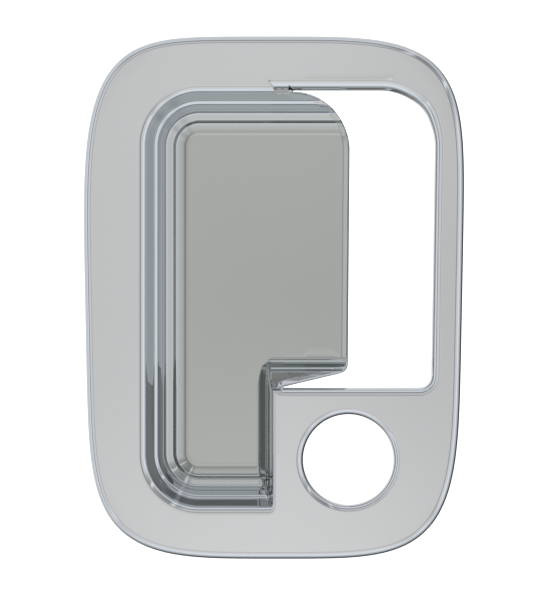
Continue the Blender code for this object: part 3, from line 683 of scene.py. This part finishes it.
def shell_object():
    """The shell's fine mesh with its own normals."""
    exact = edge_loops(DISTANCE_STEP)
    loops = {name: single(loop) for name, loop in edge_loops(STEP).items()}
    flat_f, tris_f = front_layout(loops)
    flat_b, tris_b = back_layout(loops)
    y_f = front_y(flat_f, exact)
    y_b = back_y(flat_b, exact)
    norm_f = front_normals(flat_f, exact)
    verts = np.vstack([np.column_stack([flat_f[:, 0], y_f, flat_f[:, 1]]),
                       np.column_stack([flat_b[:, 0], y_b, flat_b[:, 1]])])
    shift = len(flat_f)
    faces = [tuple(int(i) for i in t) for t in tris_f]
    faces += [tuple(int(i) + shift for i in t[::-1]) for t in tris_b]
    wall_normals = []
    for name, loop in loops.items():
        order = loop if name == "outline" else loop[::-1]
        out = normals(order)
        f = index_of(flat_f, order)
        b = [i + shift for i in index_of(flat_b, order)]
        side = np.column_stack([out[:, 0], np.zeros(len(out)), out[:, 1]])
        norm_f[f] = side * EDGE_NORMAL_SIDE + np.array([0.0, EDGE_NORMAL_FRONT, 0.0])
        for i in range(len(order)):
            j = (i + 1) % len(order)
            faces.append((f[i], b[i], b[j], f[j]))
            wall_normals += [side[i], side[i], side[j], side[j]]
    mesh = bpy.data.meshes.new("shell_fine")
    mesh.from_pydata((verts * MM).tolist(), [], faces)
    mesh.polygons.foreach_set("use_smooth", [True] * len(faces))
    loop_normals = np.zeros((len(mesh.loops), 3))
    count_f = 3 * len(tris_f)
    count_b = 3 * len(tris_b)
    loop_normals[:count_f] = norm_f[tris_f.ravel()]
    loop_normals[count_f + count_b:] = np.array(wall_normals)
    mesh.normals_split_custom_set(loop_normals.tolist())
    # Painted shade: a share that grows from the flange down to the cup's floor, used to darken the plate's
    # colour there.
    recess_shade = mesh.attributes.new("recess_shade", "FLOAT", "POINT")
    shade_share = np.clip((verts[:, 1] - SHADE_DEPTH_START_Y) / (FLOOR_Y - SHADE_DEPTH_START_Y), 0.0, 1.0)
    recess_shade.data.foreach_set("value", shade_share.astype(np.float32))
    obj = bpy.data.objects.new("shell_fine", mesh)
    bpy.context.collection.objects.link(obj)
    return obj


def new_material(name):
    made = bpy.data.materials.new(name)
    made.use_nodes = True
    return made, made.node_tree.nodes, made.node_tree.links, made.node_tree.nodes["Principled BSDF"]


def chrome_material():
    """Bright plate: near-mirror, with a faint moulded waviness, a slight unevenness in its polish, and
    painted shade that darkens its colour down into the cup.
    """
    made, nodes, links, shader = new_material("chrome_plate_fine")
    shader.inputs["Metallic"].default_value = 1.0
    # Painted shade: the plate's colour darkens along the depth share towards the cup's floor.
    recess_shade = nodes.new("ShaderNodeAttribute")
    recess_shade.attribute_name = "recess_shade"
    tone = nodes.new("ShaderNodeValToRGB")
    tone.color_ramp.elements[0].color = PLATE_BRIGHT
    tone.color_ramp.elements[0].position = SHADE_RAMP_START
    tone.color_ramp.elements[1].color = PLATE_PAINTED_SHADE
    links.new(recess_shade.outputs["Fac"], tone.inputs["Fac"])
    links.new(tone.outputs["Color"], shader.inputs["Base Color"])
    coords = nodes.new("ShaderNodeTexCoord")
    wave = nodes.new("ShaderNodeTexNoise")
    wave.inputs["Scale"].default_value = 90.0
    wave.inputs["Detail"].default_value = 1.0
    links.new(coords.outputs["Object"], wave.inputs["Vector"])
    bump = nodes.new("ShaderNodeBump")
    bump.inputs["Strength"].default_value = 0.04
    bump.inputs["Distance"].default_value = 0.0004
    links.new(wave.outputs["Fac"], bump.inputs["Height"])
    links.new(bump.outputs["Normal"], shader.inputs["Normal"])
    haze = nodes.new("ShaderNodeTexNoise")
    haze.inputs["Scale"].default_value = 260.0
    haze.inputs["Detail"].default_value = 4.0
    links.new(coords.outputs["Object"], haze.inputs["Vector"])
    spread_rough = nodes.new("ShaderNodeMapRange")
    spread_rough.inputs["To Min"].default_value = 0.01
    spread_rough.inputs["To Max"].default_value = 0.035
    links.new(haze.outputs["Fac"], spread_rough.inputs["Value"])
    links.new(spread_rough.outputs["Result"], shader.inputs["Roughness"])
    return made


def foam_material():
    """Grey closed-cell foam."""
    made, nodes, links, shader = new_material("foam_tape_fine")
    shader.inputs["Roughness"].default_value = 0.85
    coords = nodes.new("ShaderNodeTexCoord")
    cells = nodes.new("ShaderNodeTexVoronoi")
    cells.inputs["Scale"].default_value = 2600.0
    links.new(coords.outputs["Object"], cells.inputs["Vector"])
    tone = nodes.new("ShaderNodeValToRGB")
    tone.color_ramp.elements[0].color = (0.20, 0.205, 0.21, 1.0)
    tone.color_ramp.elements[1].color = (0.36, 0.365, 0.37, 1.0)
    links.new(cells.outputs["Distance"], tone.inputs["Fac"])
    links.new(tone.outputs["Color"], shader.inputs["Base Color"])
    bump = nodes.new("ShaderNodeBump")
    bump.inputs["Strength"].default_value = 0.5
    bump.inputs["Distance"].default_value = 0.0002
    links.new(cells.outputs["Distance"], bump.inputs["Height"])
    links.new(bump.outputs["Normal"], shader.inputs["Normal"])
    return made


def film_material():
    """Red release film: smooth, with faint ripples from the roll and a little scuffing."""
    made, nodes, links, shader = new_material("release_film_fine")
    coords = nodes.new("ShaderNodeTexCoord")
    ripple = nodes.new("ShaderNodeTexNoise")
    ripple.inputs["Scale"].default_value = 55.0
    ripple.inputs["Detail"].default_value = 2.0
    links.new(coords.outputs["Object"], ripple.inputs["Vector"])
    tone = nodes.new("ShaderNodeValToRGB")
    tone.color_ramp.elements[0].color = (0.42, 0.012, 0.015, 1.0)
    tone.color_ramp.elements[1].color = (0.60, 0.03, 0.03, 1.0)
    links.new(ripple.outputs["Fac"], tone.inputs["Fac"])
    links.new(tone.outputs["Color"], shader.inputs["Base Color"])
    bump = nodes.new("ShaderNodeBump")
    bump.inputs["Strength"].default_value = 0.25
    bump.inputs["Distance"].default_value = 0.001
    links.new(ripple.outputs["Fac"], bump.inputs["Height"])
    links.new(bump.outputs["Normal"], shader.inputs["Normal"])
    scuff = nodes.new("ShaderNodeTexNoise")
    scuff.inputs["Scale"].default_value = 700.0
    scuff.inputs["Detail"].default_value = 5.0
    links.new(coords.outputs["Object"], scuff.inputs["Vector"])
    rough = nodes.new("ShaderNodeMapRange")
    rough.inputs["To Min"].default_value = 0.22
    rough.inputs["To Max"].default_value = 0.42
    links.new(scuff.outputs["Fac"], rough.inputs["Value"])
    links.new(rough.outputs["Result"], shader.inputs["Roughness"])
    return made


def assign(obj, made):
    obj.data.materials.clear()
    obj.data.materials.append(made)


def build_object():
    """The fine shell in place of the CAD one, and materials for the tapes and the films."""
    shell = shell_object()
    assign(shell, chrome_material())
    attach(shell, "cover")
    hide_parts("chrome_shell")
    foam = foam_material()
    film = film_material()
    for name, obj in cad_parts.items():
        if name.startswith("tape_"):
            assign(obj, foam)
        if name.startswith("liner_"):
            assign(obj, film)


# Studio: a light tent drawn in the world. For each side: (degrees from straight in front, brightness).
TENT_LEFT = [(0, 0.86), (4, 0.92), (7, 0.89), (10, 0.66), (16, 0.66), (22, 0.96), (40, 1.0), (50, 0.95),
             (54, 0.4), (61, 0.4), (64, 1.1), (68, 1.6), (74, 1.1), (90, 0.95), (120, 1.05), (180, 1.1)]
TENT_UP = [(0, 0.86), (4, 0.94), (7, 0.95), (10, 0.58), (17, 0.58), (26, 0.87), (36, 0.88), (46, 0.55),
           (52, 0.4), (59, 0.4), (64, 1.6), (69, 1.0), (90, 0.98), (110, 1.02), (180, 1.1)]
TENT_RIGHT = [(0, 0.86), (4, 0.84), (7, 0.82), (10, 0.42), (17, 0.42), (24, 0.88), (36, 1.0), (48, 1.1),
              (58, 1.2), (64, 1.6), (70, 1.0), (95, 0.8), (108, 0.10), (140, 0.05), (155, 0.5), (180, 0.6)]
TENT_DOWN = [(0, 0.86), (4, 1.0), (7, 1.07), (10, 0.80), (17, 0.80), (26, 0.98), (42, 1.12), (56, 1.3),
             (66, 1.4), (78, 0.9), (93, 0.62), (103, 0.45), (113, 0.12), (140, 0.06), (155, 0.45),
             (180, 0.6)]
# The tent's colour: neutral in front, cooler to the sides.
TENT_TINTS = [(0, (1.0, 1.0, 1.0)), (28, (1.0, 1.0, 1.0)), (46, (0.90, 0.94, 1.0)), (75, (0.86, 0.92, 1.0)),
              (110, (0.95, 0.98, 1.0)), (180, (1.0, 1.0, 1.0))]
# How strongly the strips show: (degrees from straight in front, share).
STRIP_REACH = [(0, 0.0), (12, 0.0), (24, 1.0), (58, 1.0), (76, 0.1), (180, 0.0)]
# Strip lights and gaps round the tent: (degrees round from the right towards the top, factor).
TENT_AROUND = [(-180, 1.0), (-150, 1.0), (-143, 1.15), (-136, 0.9), (-112, 1.0), (-72, 1.0), (-58, 0.85),
               (-46, 1.0), (-34, 0.8), (-24, 1.05), (-16, 1.0), (12, 1.0), (18, 0.75), (27, 0.55), (31, 1.3),
               (35, 0.65), (52, 0.5), (60, 0.55), (64, 1.35), (69, 0.7), (78, 1.0), (118, 1.0), (128, 0.9),
               (142, 1.0), (180, 1.0)]
ROOM_STRENGTH = 1.5


def ramp(nodes, links, angle, stops):
    """Brightness or colour from an angle, given as a share of the range between the first and last stops."""
    first = stops[0][0]
    reach = stops[-1][0] - first
    made = nodes.new("ShaderNodeValToRGB")
    points = made.color_ramp.elements
    while len(points) < len(stops):
        points.new(0.5)
    for point, (degrees, level) in zip(points, stops):
        point.position = (degrees - first) / reach
        point.color = (*level, 1.0) if isinstance(level, tuple) else (level, level, level, 1.0)
    links.new(angle, made.inputs["Fac"])
    return made.outputs["Color"]


def math_node(nodes, links, kind, *values):
    made = nodes.new("ShaderNodeMath")
    made.operation = kind
    for socket, value in zip(made.inputs, values):
        if isinstance(value, (int, float)):
            socket.default_value = value
        else:
            links.new(value, socket)
    return made.outputs["Value"]


def side_share(nodes, links, part, off_axis):
    """The square of one component of the direction off the axis, kept only on its own side."""
    share = math_node(nodes, links, "MAXIMUM", math_node(nodes, links, "DIVIDE", part, off_axis), 0.0)
    return math_node(nodes, links, "MULTIPLY", share, share)


def light_tent():
    """White all round, except in reflections, which see a tent with its own falloff on each side."""
    world = bpy.data.worlds.new("tent")
    bpy.context.scene.world = world
    world.use_nodes = True
    nodes = world.node_tree.nodes
    links = world.node_tree.links
    nodes.clear()
    coords = nodes.new("ShaderNodeTexCoord")
    parts = nodes.new("ShaderNodeSeparateXYZ")
    links.new(coords.outputs["Generated"], parts.inputs["Vector"])
    x, y, z = parts.outputs
    cosine = math_node(nodes, links, "MULTIPLY", y, -1.0)
    angle = math_node(nodes, links, "DIVIDE", math_node(nodes, links, "ARCCOSINE", cosine), math.pi)
    squares = [math_node(nodes, links, "MULTIPLY", part, part) for part in (x, z)]
    length = math_node(nodes, links, "SQRT", math_node(nodes, links, "ADD", *squares))
    off_axis = math_node(nodes, links, "MAXIMUM", length, 1e-5)
    total = None
    sides = ((x, -1.0, TENT_LEFT), (x, 1.0, TENT_RIGHT), (z, 1.0, TENT_UP), (z, -1.0, TENT_DOWN))
    for part, sign, stops in sides:
        share = side_share(nodes, links, math_node(nodes, links, "MULTIPLY", part, sign), off_axis)
        level = math_node(nodes, links, "MULTIPLY", share, ramp(nodes, links, angle, stops))
        total = level if total is None else math_node(nodes, links, "ADD", total, level)
    turn = math_node(nodes, links, "ARCTAN2", z, x)
    turn = math_node(nodes, links, "ADD", math_node(nodes, links, "DIVIDE", turn, 2.0 * math.pi), 0.5)
    strips = math_node(nodes, links, "SUBTRACT", ramp(nodes, links, turn, TENT_AROUND), 1.0)
    strips = math_node(nodes, links, "MULTIPLY", strips, ramp(nodes, links, angle, STRIP_REACH))
    total = math_node(nodes, links, "MULTIPLY", total, math_node(nodes, links, "ADD", strips, 1.0))
    tent = nodes.new("ShaderNodeBackground")
    links.new(ramp(nodes, links, angle, TENT_TINTS), tent.inputs["Color"])
    links.new(total, tent.inputs["Strength"])
    white = nodes.new("ShaderNodeBackground")
    white.inputs["Color"].default_value = (1.0, 1.0, 1.0, 1.0)
    white.inputs["Strength"].default_value = ROOM_STRENGTH
    path = nodes.new("ShaderNodeLightPath")
    choose = nodes.new("ShaderNodeMixShader")
    links.new(path.outputs["Is Glossy Ray"], choose.inputs["Fac"])
    links.new(white.outputs["Background"], choose.inputs[1])
    links.new(tent.outputs["Background"], choose.inputs[2])
    out = nodes.new("ShaderNodeOutputWorld")
    links.new(choose.outputs["Shader"], out.inputs["Surface"])


# Camera: straight on, far enough back that the cup's walls open evenly. These lengths are in metres,
# except the sensor's, which is in millimetres.
CAMERA_DISTANCE = 1.3
CAMERA_SIDE = 0.0012
VIEW_HEIGHT = 0.22795
SENSOR = 36.0
FLOOR_SIZE = 4.0
FLOOR_DROP = 0.016


def studio():
    """The tent, a plain floor and the camera."""
    low, high = CAD_BOX
    light_tent()
    bpy.ops.mesh.primitive_plane_add(size=FLOOR_SIZE, location=(0.0, 0.0, low.z - FLOOR_DROP))
    floor = bpy.context.object
    floor.name = "floor"
    made, _, _, shader = new_material("pale_floor")
    shader.inputs["Base Color"].default_value = (0.92, 0.92, 0.92, 1.0)
    shader.inputs["Roughness"].default_value = 0.9
    shader.inputs["Specular IOR Level"].default_value = 0.0
    assign(floor, made)
    floor.visible_glossy = False
    camera = bpy.data.objects.new("camera", bpy.data.cameras.new("camera"))
    bpy.context.collection.objects.link(camera)
    camera.location = ((low.x + high.x) / 2.0 + CAMERA_SIDE, -CAMERA_DISTANCE, (low.z + high.z) / 2.0)
    camera.rotation_euler = (math.pi / 2.0, 0.0, 0.0)
    camera.data.sensor_width = SENSOR
    camera.data.lens = SENSOR * CAMERA_DISTANCE / VIEW_HEIGHT
    bpy.context.scene.camera = camera
    bpy.context.scene.view_settings.view_transform = "Standard"


build_object()
studio()
